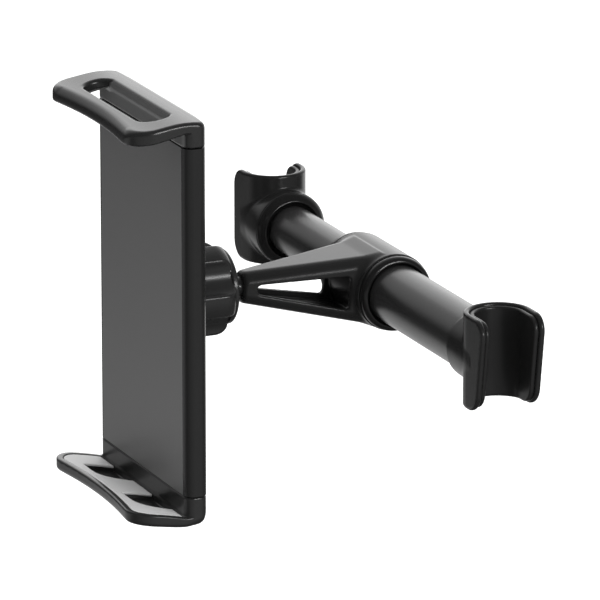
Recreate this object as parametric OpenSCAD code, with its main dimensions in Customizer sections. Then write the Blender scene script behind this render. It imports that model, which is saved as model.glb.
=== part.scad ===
// Headrest tablet holder: a sprung cradle on a ball joint, carried by a hollow arm
// on a telescoping bar whose two hooks press outward against the headrest posts.
// Millimetres. The bar runs along X and its middle is the origin, +Z is up, and -Y
// points to the person who looks at the tablet.

/* [Cradle body] */
// Height of the cradle body between its two jaw seams
body_h = 105; // [96:1:150]
// Width of the cradle body and of both jaws
body_w = 68; // [66:1:90]
// Thickness of the cradle body at its sides
side_t = 7; // [6:0.1:8]
// Thickness of the cradle body at its middle
mid_t = 9; // [8.8:0.1:12]
// Width of the raised middle of the back
mid_w = 40; // [36:1:48]
// Wall of the rear cover
cover_wall = 1.6; // [1.2:0.1:1.8]
// Thickness of the front panel
panel_t = 1.6; // [1.2:0.1:1.8]
// Width of the flat front panel
panel_w = 61.4; // [59:0.2:62]
// Gap between the body and each closed jaw
seam_gap = 0.3; // [0.2:0.05:0.5]

/* [Jaws] */
// How far each jaw lip reaches in front of the panel
lip_reach = 16.6; // [14:0.2:24]
// Radius of the lip's two front corners in plan
lip_corner_r = 8; // [6:0.5:11]
// Depth of the hollow in the lip's front edge
lip_hollow = 2; // [0.6:0.1:2.6]
// Height of the top jaw above its seam
top_jaw_h = 7.4; // [7.2:0.1:11]
// Height of the bottom jaw below its seam
bottom_jaw_h = 8.6; // [8.2:0.1:11]
// Height of the top lip's grip face above its seam, at the lip's front
top_edge_h = 1.6; // [1.2:0.1:2.2]
// Height of the bottom lip's grip face below its seam, at the lip's front
bottom_edge_h = 3.2; // [1.6:0.1:3.6]
// Height of the top lip's grip face above its seam, at the panel
top_grip_h = 4.4; // [4.2:0.1:4.8]
// Height of the bottom lip's grip face below its seam, at the panel
bottom_grip_h = 5.9; // [5.2:0.1:6.2]
// Thickness of the top lip at its front
top_nose_t = 4.4; // [3.4:0.1:4.8]
// Thickness of the bottom lip at its front
bottom_nose_t = 3.8; // [3.2:0.1:4.4]
// Length of each finger hollow in the bottom pad
hollow_len = 15.5; // [12:0.5:17]
// Depth of each finger hollow, measured from the panel
hollow_depth = 10.2; // [7:0.1:11.4]
// Length of the window through the top jaw
window_len = 49; // [30:1:50]
// Width of the window through the top jaw
window_w = 9.6; // [6:0.2:10]
// Thickness of the rubber pad in each jaw
pad_t = 1; // [0.8:0.1:1.2]
// Width of the raised rim round each pad
rim_w = 2; // [1.6:0.1:2.6]
// How far each jaw pulls out of the body
jaw_travel = 40; // [20:1:44]

/* [Jaw rails and springs] */
// Thickness of the steel rail plates
rail_t = 1.8; // [1.4:0.1:1.9]
// Width of each rail
rail_w = 6.5; // [5.5:0.1:6.6]
// Length of each rail inside the body
rail_len = 86; // [70:1:88]
// Distance from the middle to the centre of a top rail
top_rail_x = 20.2; // [20.1:0.1:20.4]
// Distance from the middle to the centre of a bottom rail
bottom_rail_x = 10.8; // [10.4:0.1:11]
// Mean radius of the jaw springs
jaw_spring_r = 1.7; // [1.4:0.1:1.8]
// Wire thickness of the jaw springs
jaw_wire = 0.5; // [0.4:0.05:0.6]
// Distance from the middle to each jaw spring
jaw_spring_x = 3; // [2.6:0.1:3.4]
// Length of each jaw spring with the jaws closed
jaw_spring_len = 40; // [30:1:44]

/* [Ball joint] */
// Radius of the ball on the end of the arm
ball_r = 6.5; // [6.2:0.1:6.7]
// Gap round the ball and between the loose seats
ball_gap = 0.3; // [0.2:0.05:0.35]
// Outer radius of the slotted socket
socket_r = 8.8; // [8.7:0.1:8.9]
// Radius of the neck between the ball and the arm
neck_r = 2.8; // [2.4:0.1:3]
// Distance from the ball's centre to the front face of the panel
ball_to_panel = 20.7; // [20.4:0.1:22]
// Upward pitch of the arm towards the cradle, in degrees
arm_pitch = 4.5; // [0:0.5:8]

/* [Lock nut] */
// Radius of the lock nut over its lobes
nut_r = 14.2; // [13.6:0.1:15]
// Radius of the plain rim on the arm side
nut_rim_r = 11.3; // [10.8:0.1:12]
// Number of finger scallops
nut_scallops = 5; // [4:1:7]
// Turn of the first scallop above the bar's direction, in degrees
scallop_turn = 26.5; // [0:0.5:71.5]
// Depth of each finger scallop
scallop_depth = 3.6; // [2:0.1:3.7]
// Radius of each finger scallop
scallop_r = 6.5; // [4:0.1:7]
// Length of the lock nut
nut_len = 14; // [12:0.2:14]
// Width of the plain rim
nut_rim_w = 1.5; // [1:0.1:2]

/* [Arm] */
// Distance from the bar's axis to the ball's centre
arm_len = 55; // [48:1:80]
// Distance from the ball's centre to the end of the arm
arm_end = 10.5; // [10:0.1:12]
// Half of the arm's width at the ball end
arm_w0 = 4.3; // [4:0.1:5]
// Half of the arm's width at the sleeve
arm_w1 = 12.3; // [10:0.1:13]
// Half of the arm's height at the ball end
arm_h0 = 4.7; // [4.4:0.1:5.2]
// Half of the arm's height at the sleeve
arm_h1 = 10.9; // [9:0.1:11]
// Rounding of the arm's long edges
arm_edge_r = 2.6; // [1.5:0.1:3]
// Wall of the hollow arm
arm_wall = 2; // [1.6:0.1:2.4]
// Height of the window above the arm's middle, at the sleeve
window_up = 4.6; // [3:0.1:5.5]
// Depth of the window below the arm's middle, at the sleeve
window_down = 5.8; // [3:0.1:6]

/* [Bar] */
// Outer radius of the wide tube
tube_r = 9; // [8.5:0.1:10]
// Wall of the wide tube
tube_wall = 1; // [0.8:0.1:1.1]
// Gap between the sliding rod and the bore of the wide tube
rod_gap = 0.5; // [0.5:0.1:1.4]
// Wall of the sliding rod
rod_wall = 1.2; // [1:0.1:1.6]
// Running gap of the sliding rod in its bush and of its plug in the tube
slide_gap = 0.05; // [0.03:0.01:0.1]
// Wall of the sleeve that carries the arm
sleeve_wall = 2.75; // [2.5:0.05:4]
// Length of the sleeve without its end rings
sleeve_len = 27; // [25:1:40]
// Length of each sleeve end ring
ring_len = 3; // [2:0.1:4]
// Visible length of the wide tube, from ring to hook
tube_show = 55; // [50:0.1:80]
// Visible length of the sliding rod, from ring to hook collar
rod_show = 44.3; // [42:0.1:60]
// How far the sliding rod pushes into the tube
rod_travel = 40; // [20:1:42]
// How far the sliding rod stays inside the tube when fully out
rod_hold = 18; // [12:1:20]

/* [Hooks] */
// Height of each hook
hook_h = 28.2; // [24:0.1:40]
// How far the right hook's middle hangs below the bar's axis
right_hook_drop = 0.4; // [0:0.1:2]
// How far the left hook's middle stands above the bar's axis
left_hook_lift = 1.9; // [0:0.1:2.4]
// Outer radius of the round back of each hook
hook_r = 10.2; // [9.9:0.1:12]
// Wall of each hook
hook_wall = 1.7; // [1.5:0.1:2.2]
// Straight length of the right hook's two wings
right_wing_len = 9.9; // [6.5:0.1:12]
// Length that the right hook's wings lose from top to bottom
right_wing_lean = 2.6; // [0:0.1:3.2]
// Straight length of the left hook's two wings
left_wing_len = 7; // [6:0.1:12]
// Rounding of the wing corners
wing_corner_r = 5.5; // [3:0.1:6]
// Thickness of the rubber liner
liner_t = 1.5; // [0.8:0.1:1.8]
// Step from the hook's edge to the liner's edge
liner_step = 0.7; // [0.4:0.1:1.2]
// Wall of the collar ring on the sliding rod at its front face
collar_wall = 2.1; // [1.9:0.1:2.9]
// Length of the collar ring
collar_len = 2; // [1.6:0.1:4]
// How far the left hook's boss swells beyond the collar's front face
boss_swell = 1.9; // [1.5:0.1:3]
// Wall of the right hook's boss round the wide tube
right_boss_wall = 1.3; // [0.9:0.1:2]
// Distance from the tube's end face to the centre of the right hook's round back
right_offset = 14.1; // [13.8:0.1:18]
// Distance from the collar's face to the centre of the left hook's round back
left_offset = 15.9; // [15:0.1:18]

/* [Hidden] */

// Small values shared by several pieces
eps = 0.01;
fit_gap = 0.1;
$fn = 64;

// Radii along the bar, from the wide tube
tube_bore_r = tube_r - tube_wall;
rod_r = tube_bore_r - rod_gap;
sleeve_r = tube_r + sleeve_wall;
collar_r = rod_r + collar_wall;
left_boss_r = collar_r + boss_swell;
right_boss_r = tube_r + right_boss_wall;

// Ball centre in the bar's frame
ball_y = -arm_len * cos(arm_pitch);
ball_z = arm_len * sin(arm_pitch);

// Cradle depths, measured along Y from the ball's centre
panel_y = -ball_to_panel;
panel_back_y = panel_y + panel_t;
side_back_y = panel_y + side_t;
mid_back_y = panel_y + mid_t;
corner_r = 0.4 * side_t;
front_round = 0.4 * side_t;
mid_corner_r = 2;
lip_y = panel_y - lip_reach;

// Rounding of each jaw's rear edge
heel_r = 4;
body_top = body_h / 2;
end_wall = 2;

// Rail plates lie just behind the panel
rail_front_y = panel_back_y + ball_gap;
rail_back_y = rail_front_y + rail_t;
rail_guide_y = rail_back_y + ball_gap;
tongue_w = 4;
tongue_len = body_top - jaw_spring_z();
jaw_spring_y = mid_back_y - cover_wall - jaw_spring_r - jaw_wire - ball_gap;
anchor_r = 1.2;
crossbar_z0 = 1.2;
crossbar_z1 = 4.2;
function jaw_spring_z() = 0.27 * body_h;

// Screws from the back into bosses on the panel
screw_z = 0.36 * body_h;
screw_r = 1;
screw_head_r = 1.7;
screw_boss_r = 1.9;
screw_x = mid_w / 2 + 3 * screw_boss_r;
screw_head_h = 1.2;
screw_seat_y = panel_y + 5.6;
screw_joint_y = panel_y + 3.8;

// Ball seats, from the ball outward
socket_in_r = ball_r + ball_gap;
cup_t = 1;
cup_out_r = socket_in_r + cup_t;
cup_angle = 22;
cup_free_angle = 49.5;
washer_in_r = cup_out_r + ball_gap;
washer_t = 1.1;
washer_out_r = washer_in_r + washer_t;
washer_angle = 30;
washer_seat_r = washer_out_r + fit_gap;
washer_seat_angle = 31;
socket_end_y = 3.2;
slot_w = 1.2;
slot_from_y = -1;
base_r = 12;

// Lock nut, measured along Y from the ball's centre
nut_end_y = 6;
nut_start_y = nut_end_y - nut_len;
nut_bore_r = socket_r + ball_gap;
nut_mouth_r = 7.7;
nut_lobe_end_y = nut_end_y - nut_rim_w;
base_end_y = nut_start_y - ball_gap;

// Arm stations, measured along Y from the bar's axis
arm_y0 = -(arm_len - arm_end);
arm_y1 = -4;
hollow_y0 = arm_y0 + 4.5;
arm_window_y0 = arm_y0 + 4;
arm_window_y1 = -(sleeve_r + 1);
arm_window_r = 1.4;

// Bar stations along X
sleeve_end = sleeve_len / 2;
ring_end = sleeve_end + ring_len;
right_hook_x = ring_end + tube_show;
left_hook_x = -(ring_end + rod_show);
tube_in_hook = 5;
tube_left_x = -(ring_end - 1);
tube_right_x = right_hook_x + tube_in_hook;
bush_len = 7;
rod_left_x = left_hook_x - tube_in_hook;
rod_right_x = tube_left_x + rod_hold;
plug_len = 5;
seat_len = 4;
seat_x = right_hook_x - seat_len;
bar_wire = 0.7;
bar_spring_r = tube_bore_r - bar_wire / 2 - 0.4;

// Hook sections
liner_out_r = hook_r - hook_wall;
post_r = liner_out_r - liner_t;

// Point on a cubic curve through four points
function curve_at(p, t) =
    pow(1 - t, 3) * p[0] + 3 * t * pow(1 - t, 2) * p[1] + 3 * t * t * (1 - t) * p[2] + pow(t, 3) * p[3];

// The curve as a list of points, without its last point
function curve(p, steps = 12) = [for (i = [0 : steps - 1]) curve_at(p, i / steps)];

// Carries children drawn in the arm's frame, where the arm points along -Y
module along_arm() {
    rotate([-arm_pitch, 0, 0]) children();
}

// Carries children drawn round the ball's centre
module at_ball() {
    translate([0, ball_y, ball_z]) children();
}

// Turns a shape made along Z so that it lies along X
module along_x() {
    rotate([0, 90, 0]) children();
}

// Turns a shape made along Z so that it lies along Y
module along_y() {
    rotate([-90, 0, 0]) children();
}

// Coil spring along Z from zero to its length
module coil(radius, wire, length, turns) {
    steps = 12;
    sides = 5;
    rings = turns * steps;
    rise = (length - wire) / rings;
    points = [
        for (i = [0 : rings], j = [0 : sides - 1])
        let (a = 360 * i / steps, b = 360 * j / sides, r = radius + wire / 2 * cos(b))
        [r * cos(a), r * sin(a), wire / 2 + i * rise + wire / 2 * sin(b)]
    ];
    walls = [
        for (i = [0 : rings - 1], j = [0 : sides - 1])
        let (k = (j + 1) % sides)
        [i * sides + j, i * sides + k, (i + 1) * sides + k, (i + 1) * sides + j]
    ];
    ends = [
        [for (j = [0 : sides - 1]) sides - 1 - j],
        [for (j = [0 : sides - 1]) rings * sides + j]
    ];
    polyhedron(points = points, faces = concat(walls, ends));
}

// Outline of the cradle body seen from above
module body_outline(inset = 0) {
    side_r = corner_r - min(inset, corner_r - 0.4);
    mid_r = max(mid_corner_r - inset, 0.4);
    hull() {
        for (side = [-1, 1]) {
            translate([side * (body_w / 2 - inset - side_r), side_back_y - inset - side_r]) circle(side_r);
            translate([side * (mid_w / 2 - inset), mid_back_y - inset - mid_r]) circle(mid_r);
            translate([side * panel_w / 2, panel_y + front_round]) scale([(body_w - panel_w) / 2 - inset, front_round - inset]) circle(1);
        }
    }
}

// Outline of a jaw lip seen from above, inset all round
module lip_outline(inset = 0) {
    half = body_w / 2 - inset;
    r = lip_corner_r - inset;
    front = lip_y + inset;
    hollow_r = pow(half - r, 2) / (2 * lip_hollow);
    difference() {
        union() {
            translate([-half, front + r]) square([2 * half, panel_y + corner_r - front - r]);
            translate([-(half - r), front]) square([2 * (half - r), r + eps]);
            for (side = [-1, 1]) translate([side * (half - r), front + r]) circle(r);
        }
        translate([0, front + lip_hollow - hollow_r]) circle(hollow_r, $fn = 180);
    }
}

// Side outline of a jaw: seam along the first axis, height along the second
module jaw_section(height, swell, edge_h, face_h, nose_t) {
    rear = mid_back_y + eps;
    nose_h = edge_h + nose_t;
    crest_y = panel_y - 0.2 * lip_reach;
    fall_y = panel_y - 0.42 * lip_reach;
    outer = curve([[rear - heel_r, height], [crest_y, height + swell], [fall_y, nose_h], [lip_y, nose_h]]);
    heel = [for (a = [0 : 15 : 75]) [rear - heel_r + heel_r * cos(a), height - heel_r + heel_r * sin(a)]];
    polygon(concat(
        [[rear, 0]], heel, outer,
        [[lip_y, nose_h], [lip_y - 1, nose_h - 0.2], [lip_y - 1, edge_h]],
        grip_face(edge_h, face_h), [[panel_y, 0]]
    ));
}

// Line of the grip face, from the lip's front to the panel
function grip_face(edge_h, face_h) = concat(
    curve([
        [lip_y - 1, edge_h], [lip_y + 0.29 * lip_reach, edge_h],
        [panel_y - 0.36 * lip_reach, face_h - 1.5], [panel_y, face_h]
    ]),
    [[panel_y, face_h]]
);

// Strip that follows the grip face of a jaw, from a depth below it to another
module grip_strip(edge_h, face_h, from, to) {
    face = grip_face(edge_h, face_h);
    n = len(face);
    polygon(concat(
        [for (p = face) [p[0], p[1] + from]],
        [for (i = [n - 1 : -1 : 0]) [face[i][0], face[i][1] + to]]
    ));
}

// Carries a side outline across the whole width of the cradle
module across_width() {
    translate([-body_w, 0, 0]) rotate([90, 0, 90]) linear_extrude(2 * body_w) children();
}

// Pocket in a jaw for its rubber pad
module pad_pocket(edge_h, face_h) {
    intersection() {
        linear_extrude(2 * face_h) difference() {
            lip_outline(rim_w);
            translate([-body_w, panel_y - 0.4]) square([2 * body_w, side_t]);
        }
        across_width() grip_strip(edge_h, face_h, -2, pad_t);
    }
}

// Rubber pad in its pocket, a little below the rim
module pad_body(edge_h, face_h) {
    intersection() {
        linear_extrude(2 * face_h) difference() {
            lip_outline(rim_w + fit_gap);
            translate([-body_w, panel_y - 0.6]) square([2 * body_w, side_t]);
        }
        across_width() grip_strip(edge_h, face_h, 0.15, pad_t);
    }
}

// Oblong window through a jaw, just in front of the panel
module window_outline(grow = 0) {
    r = window_w / 2;
    x = window_len / 2 - r;
    translate([0, panel_y - r + 0.4]) {
        square([2 * x, 2 * (r + grow)], center = true);
        for (side = [-1, 1]) translate([side * x, 0]) circle(r + grow);
    }
}

// Finger hollow in the bottom pad: square at one end, rounded at the other
module pad_hollow() {
    round_x = 0.65 * hollow_len;
    straight = hollow_len - round_x;
    polygon(concat(
        [[0, 0], [0, -hollow_depth]],
        [for (a = [90 : -9 : 0]) [straight + round_x * pow(cos(a), 0.75), -hollow_depth * pow(sin(a), 0.75)]]
    ));
}

// Both finger hollows, from the panel forward
module pad_hollows() {
    for (x = [-0.316, 0.125]) translate([x * body_w, panel_y + eps]) pad_hollow();
}

// Closed pocket for the crossbar of a rail plate
module crossbar_pocket(rail_x) {
    half = rail_x + rail_w / 2 + fit_gap;
    translate([-half, rail_front_y - fit_gap, -1])
        cube([2 * half, rail_t + 2 * fit_gap, crossbar_z1 + 1 + fit_gap]);
}

// Jaw drawn with its seam at zero and its height upward
module jaw_body(height, swell, edge_h, face_h, nose_t, rail_x) {
    difference() {
        intersection() {
            linear_extrude(2 * height) union() {
                body_outline();
                lip_outline();
            }
            across_width() jaw_section(height, swell, edge_h, face_h, nose_t);
        }
        crossbar_pocket(rail_x);
        pad_pocket(edge_h, face_h);
    }
}

// Steel plate with two rails, a crossbar and a spring tongue, its jaw upward
module rail_plate(rail_x, spring_side) {
    half = rail_x + rail_w / 2;
    translate([0, rail_front_y, 0]) {
        translate([-half, 0, crossbar_z0]) cube([2 * half, rail_t, crossbar_z1 - crossbar_z0]);
        for (side = [-1, 1])
            translate([side * rail_x - rail_w / 2, 0, -rail_len]) cube([rail_w, rail_t, rail_len + crossbar_z0 + eps]);
        translate([spring_side * jaw_spring_x - tongue_w / 2, 0, -tongue_len])
            cube([tongue_w, rail_t, tongue_len + crossbar_z0 + eps]);
    }
}

// Places a jaw, pad or rail plate at the top seam
module at_top_seam() {
    at_ball() translate([0, 0, body_top + seam_gap]) children();
}

// Places a jaw, pad or rail plate at the bottom seam
module at_bottom_seam() {
    at_ball() mirror([0, 0, 1]) translate([0, 0, body_top + seam_gap]) children();
}

module top_jaw() {
    color("#2b2b2d") at_top_seam() difference() {
        jaw_body(top_jaw_h, 1.1, top_edge_h, top_grip_h, top_nose_t, top_rail_x);
        translate([0, 0, -eps]) linear_extrude(2 * top_jaw_h) window_outline();
    }
}

module top_pad() {
    color("#6d6d70") at_top_seam() difference() {
        pad_body(top_edge_h, top_grip_h);
        translate([0, 0, -eps]) linear_extrude(2 * top_jaw_h) window_outline(0.8);
    }
}

module bottom_jaw() {
    color("#2b2b2d") at_bottom_seam() difference() {
        jaw_body(bottom_jaw_h, 1, bottom_edge_h, bottom_grip_h, bottom_nose_t, bottom_rail_x);
        finger_hollows();
    }
}

// The finger hollows go on below the pad, into the jaw
module finger_hollows() {
    intersection() {
        linear_extrude(2 * bottom_grip_h) pad_hollows();
        across_width() grip_strip(bottom_edge_h, bottom_grip_h, -2, pad_t + 1);
    }
}

module bottom_pad() {
    color("#b9babb") at_bottom_seam() difference() {
        pad_body(bottom_edge_h, bottom_grip_h);
        translate([0, 0, -eps]) linear_extrude(2 * bottom_grip_h) pad_hollows();
    }
}

module top_rails() {
    color("#8f9194") at_top_seam() rail_plate(top_rail_x, -1);
}

module bottom_rails() {
    color("#8f9194") at_bottom_seam() rail_plate(bottom_rail_x, 1);
}

module top_spring() {
    color("#a7a9ab") at_ball()
        translate([-jaw_spring_x, jaw_spring_y, jaw_spring_z() - jaw_spring_len + seam_gap])
            coil(jaw_spring_r, jaw_wire, jaw_spring_len, 12);
}

module bottom_spring() {
    color("#a7a9ab") at_ball() mirror([0, 0, 1])
        translate([jaw_spring_x, jaw_spring_y, jaw_spring_z() - jaw_spring_len + seam_gap])
            coil(jaw_spring_r, jaw_wire, jaw_spring_len, 12);
}

// Rear cover: rounded shell with the slotted socket on its back
module rear_cover() {
    color("#262628") at_ball() difference() {
        union() {
            cover_shell();
            along_y() translate([0, 0, mid_back_y - cover_wall]) cylinder(r = base_r, h = base_end_y - mid_back_y + cover_wall);
            along_y() translate([0, 0, mid_back_y]) cylinder(r = socket_r, h = socket_end_y - mid_back_y);
        }
        socket_hollow();
    }
}

// Spherical seats for the ball, the cup and the washer, and the claws' slots
module socket_hollow() {
    sphere(socket_in_r);
    seat_cone(washer_in_r, cup_free_angle);
    seat_cone(washer_seat_r, washer_seat_angle);
    for (turn = [45, 135]) rotate([0, turn, 0])
        translate([-2 * socket_r, slot_from_y, -slot_w / 2])
            cube([4 * socket_r, 2 * socket_r, slot_w]);
}

// Part of a ball inside a cone that opens towards the cradle
module seat_cone(radius, half_angle, grow = 0) {
    reach = radius + 1;
    intersection() {
        sphere(radius);
        rotate([90, 0, 0]) cylinder(r1 = 0, r2 = reach * tan(half_angle), h = reach);
    }
}

// Shell of the cradle body with end walls, rail slots and guide ribs
module cover_shell() {
    difference() {
        translate([0, 0, -body_top]) linear_extrude(body_h) body_outline();
        // The front panel's rebate runs the whole height
        translate([-panel_w / 2 - fit_gap, panel_y - 5, -body_top - 1])
            cube([panel_w + 2 * fit_gap, 5 + panel_t, body_h + 2]);
        difference() {
            translate([0, 0, -body_top + end_wall]) linear_extrude(body_h - 2 * end_wall)
                intersection() {
                    body_outline(cover_wall);
                    translate([-body_w / 2, panel_back_y - eps]) square([body_w, mid_t]);
                }
            cover_ribs();
        }
        for (side = [-1, 1]) mirror([0, 0, side > 0 ? 1 : 0]) end_slots(side > 0 ? top_rail_x : bottom_rail_x, side);
        for (x = [-1, 1], z = [-1, 1]) translate([x * screw_x, 0, z * screw_z]) screw_hole();
    }
}

// Guide ribs, screw bosses and spring posts that stay inside the cover
module cover_ribs() {
    rib_t = 1.1;
    gap_x = (top_rail_x + bottom_rail_x) / 2;
    for (side = [-1, 1]) {
        translate([side * gap_x - rib_t / 2, panel_back_y + fit_gap, -body_top]) cube([rib_t, mid_t, body_h]);
        for (x = [top_rail_x, bottom_rail_x])
            translate([side * x - rib_t / 2, rail_guide_y, -body_top]) cube([rib_t, mid_t, body_h]);
        for (z = [-1, 1]) translate([side * screw_x, screw_joint_y, z * screw_z])
            along_y() cylinder(r = screw_boss_r + 0.4, h = mid_t);
    }
    for (side = [-1, 1])
        translate([side * jaw_spring_x, rail_front_y, side * (jaw_spring_len - jaw_spring_z() + anchor_r - seam_gap)])
            along_y() cylinder(r = anchor_r, h = mid_t);
}

// Slots in the end wall below a jaw, for its two rails and its tongue
module end_slots(rail_x, side) {
    slot = ball_gap;
    for (x = [-1, 1])
        translate([x * rail_x - rail_w / 2 - slot, rail_front_y - slot, -body_top - 1])
            cube([rail_w + 2 * slot, rail_t + 2 * slot, end_wall + 2]);
    translate([-side * jaw_spring_x - tongue_w / 2 - slot, rail_front_y - slot, -body_top - 1])
        cube([tongue_w + 2 * slot, rail_t + 2 * slot, end_wall + 2]);
}

module screw_hole() {
    along_y() translate([0, 0, panel_y]) cylinder(r = screw_r + 0.2, h = mid_t + 1);
    along_y() translate([0, 0, screw_seat_y]) cylinder(r = screw_head_r + 0.15, h = mid_t);
}

module front_panel() {
    color("#4a4a4c") at_ball() difference() {
        union() {
            translate([-panel_w / 2, panel_y, -body_top]) cube([panel_w, panel_t, body_h]);
            for (x = [-1, 1], z = [-1, 1]) translate([x * screw_x, panel_back_y - eps, z * screw_z])
                along_y() cylinder(r = screw_boss_r, h = screw_joint_y - panel_back_y + eps);
        }
        for (x = [-1, 1], z = [-1, 1]) translate([x * screw_x, panel_y + 0.8, z * screw_z])
            along_y() cylinder(r = screw_r + 0.03, h = mid_t);
    }
}

module cover_screws() {
    color("#3c3c3e") at_ball() for (x = [-1, 1], z = [-1, 1]) translate([x * screw_x, 0, z * screw_z]) {
        difference() {
            along_y() translate([0, 0, screw_seat_y]) cylinder(r = screw_head_r, h = screw_head_h);
            for (turn = [0, 90]) rotate([0, turn, 0])
                translate([-1.1, screw_seat_y + screw_head_h - 0.6, -0.2]) cube([2.2, 1, 0.4]);
        }
        along_y() translate([0, 0, panel_y + 1.2]) cylinder(r = screw_r, h = screw_seat_y - panel_y - 1.2 + eps);
    }
}

// Cup that the ball turns in, carried by the washer behind it
module ball_cup() {
    color("#3a3a3c") at_ball() difference() {
        seat_cone(cup_out_r, cup_angle);
        sphere(socket_in_r);
    }
}

module ball_washer() {
    color("#515154") at_ball() difference() {
        seat_cone(washer_out_r, washer_angle);
        sphere(washer_in_r);
    }
}

// Ring nut with finger scallops and a plain rim on the arm side
module lock_nut() {
    shoulder_y = nut_start_y + 0.62 * nut_len;
    color("#1f1f21") at_ball() difference() {
        along_y() rotate_extrude() polygon(concat(
            [[nut_mouth_r, nut_end_y], [nut_mouth_r, nut_lobe_end_y], [nut_bore_r, socket_end_y + ball_gap]],
            [[nut_bore_r, nut_start_y], [nut_r - 0.8, nut_start_y], [nut_r, nut_start_y + 0.8]],
            [for (a = [0 : 15 : 90]) [
                nut_rim_r + 0.2 + (nut_r - nut_rim_r - 0.2) * cos(a),
                shoulder_y + (nut_lobe_end_y - shoulder_y) * sin(a)
            ]],
            [[nut_rim_r, nut_lobe_end_y], [nut_rim_r, nut_end_y - 0.5], [nut_rim_r - 0.5, nut_end_y]]
        ));
        for (i = [0 : nut_scallops - 1]) rotate([0, i * 360 / nut_scallops - scallop_turn, 0])
            translate([nut_r + scallop_r - scallop_depth, nut_start_y - 1, 0])
                along_y() cylinder(r = scallop_r, h = nut_lobe_end_y - nut_start_y + 0.8);
    }
}

// Arm: hollow wedge with a window in each side, a sleeve for the tube and the ball
module arm() {
    color("#2a2a2c") along_arm() difference() {
        union() {
            difference() {
                arm_wedge();
                arm_hollow();
                arm_windows();
            }
            along_x() translate([0, 0, -sleeve_end]) cylinder(r = sleeve_r, h = sleeve_len);
            translate([0, -arm_len, 0]) {
                sphere(ball_r);
                along_y() cylinder(r = neck_r, h = arm_end + eps);
            }
        }
        along_x() translate([0, 0, -sleeve_end - 1]) cylinder(r = tube_r, h = sleeve_len + 2);
    }
}

module arm_wedge() {
    hull() for (x = [-1, 1], z = [-1, 1]) {
        translate([x * (arm_w0 - arm_edge_r), arm_y0, z * (arm_h0 - arm_edge_r)])
            along_y() cylinder(r = arm_edge_r, h = 0.1, $fn = 32);
        translate([x * (arm_w1 - arm_edge_r), arm_y1, z * (arm_h1 - arm_edge_r)])
            along_y() cylinder(r = arm_edge_r, h = 0.1, $fn = 32);
    }
}

// Half width or half height of the arm at a station
function arm_half(start, end, y) = start + (end - start) * (y - arm_y0) / (arm_y1 - arm_y0);

// Wedge with flat faces that keeps a wall from the arm's outside
module arm_hollow() {
    intersection() {
        translate([0, 0, -2 * arm_h1]) linear_extrude(4 * arm_h1) hollow_outline(arm_w0, arm_w1);
        rotate([0, 90, 0]) translate([0, 0, -2 * arm_w1]) linear_extrude(4 * arm_w1) hollow_outline(arm_h0, arm_h1);
    }
}

module hollow_outline(start, end) {
    h0 = arm_half(start, end, hollow_y0) - arm_wall;
    h1 = arm_half(start, end, 0) - arm_wall;
    polygon([[-h0, hollow_y0], [h0, hollow_y0], [h1, 0], [-h1, 0]]);
}

// Rounded triangle through both side walls, its point towards the ball
module arm_windows() {
    rotate([90, 0, 90]) translate([0, 0, -2 * arm_w1]) linear_extrude(4 * arm_w1) hull() {
        translate([arm_window_y0 + arm_window_r, 0]) circle(arm_window_r, $fn = 32);
        for (z = [arm_window_r - window_down, window_up - arm_window_r])
            translate([arm_window_y1 - arm_window_r, z]) circle(arm_window_r, $fn = 32);
    }
}

// Tapered end ring of the sleeve, from its inner face outward along X
module sleeve_ring() {
    along_x() rotate_extrude() polygon([
        [tube_r, 0],
        [sleeve_r - 0.25, 0],
        [sleeve_r - 0.35, ring_len - 1.2],
        [sleeve_r - 1.1, ring_len],
        [tube_r + 0.6, ring_len],
        [tube_r + 0.6, ring_len - 1.5],
        [tube_r, ring_len - 1.5]
    ]);
}

module sleeve_ring_right() {
    color("#151516") along_arm() translate([sleeve_end, 0, 0]) sleeve_ring();
}

module sleeve_ring_left() {
    color("#151516") along_arm() mirror([1, 0, 0]) translate([sleeve_end, 0, 0]) sleeve_ring();
}

module wide_tube() {
    color("#37373a") along_arm() translate([tube_left_x, 0, 0]) along_x() difference() {
        cylinder(r = tube_r, h = tube_right_x - tube_left_x);
        translate([0, 0, -1]) cylinder(r = tube_bore_r, h = tube_right_x - tube_left_x + 2);
    }
}

module mouth_bush() {
    color("#101011") along_arm() translate([tube_left_x, 0, 0]) along_x() difference() {
        cylinder(r = tube_bore_r, h = bush_len);
        translate([0, 0, -1]) cylinder(r = rod_r + slide_gap, h = bush_len + 2);
    }
}

module spring_seat() {
    color("#3c3c3e") along_arm() translate([seat_x, 0, 0]) along_x() {
        cylinder(r = tube_bore_r, h = seat_len);
        translate([0, 0, -seat_len]) cylinder(r = bar_spring_r - bar_wire - 0.6, h = seat_len + eps);
    }
}

module bar_spring() {
    length = seat_x - rod_right_x - plug_len;
    color("#a7a9ab") along_arm() translate([rod_right_x + plug_len, 0, 0]) along_x()
        coil(bar_spring_r, bar_wire, length, 9);
}

module sliding_rod() {
    color("#3d3d40") along_arm() translate([rod_left_x, 0, 0]) along_x() difference() {
        cylinder(r = rod_r, h = rod_right_x - rod_left_x);
        translate([0, 0, -1]) cylinder(r = rod_r - rod_wall, h = rod_right_x - rod_left_x + 2);
    }
}

// Plug on the inner end of the rod: it runs in the tube and pushes on the spring
module rod_plug() {
    color("#101011") along_arm() translate([rod_right_x, 0, 0]) along_x() {
        cylinder(r = tube_bore_r - slide_gap, h = plug_len);
        translate([0, 0, -2 * plug_len]) cylinder(r = rod_r - rod_wall, h = 2 * plug_len + eps);
    }
}

// Plan of a hook's channel: a round back and two straight wings towards +X
module hook_plan(radius, reach) {
    circle(radius);
    translate([0, -radius]) square([reach, 2 * radius]);
}

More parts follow.
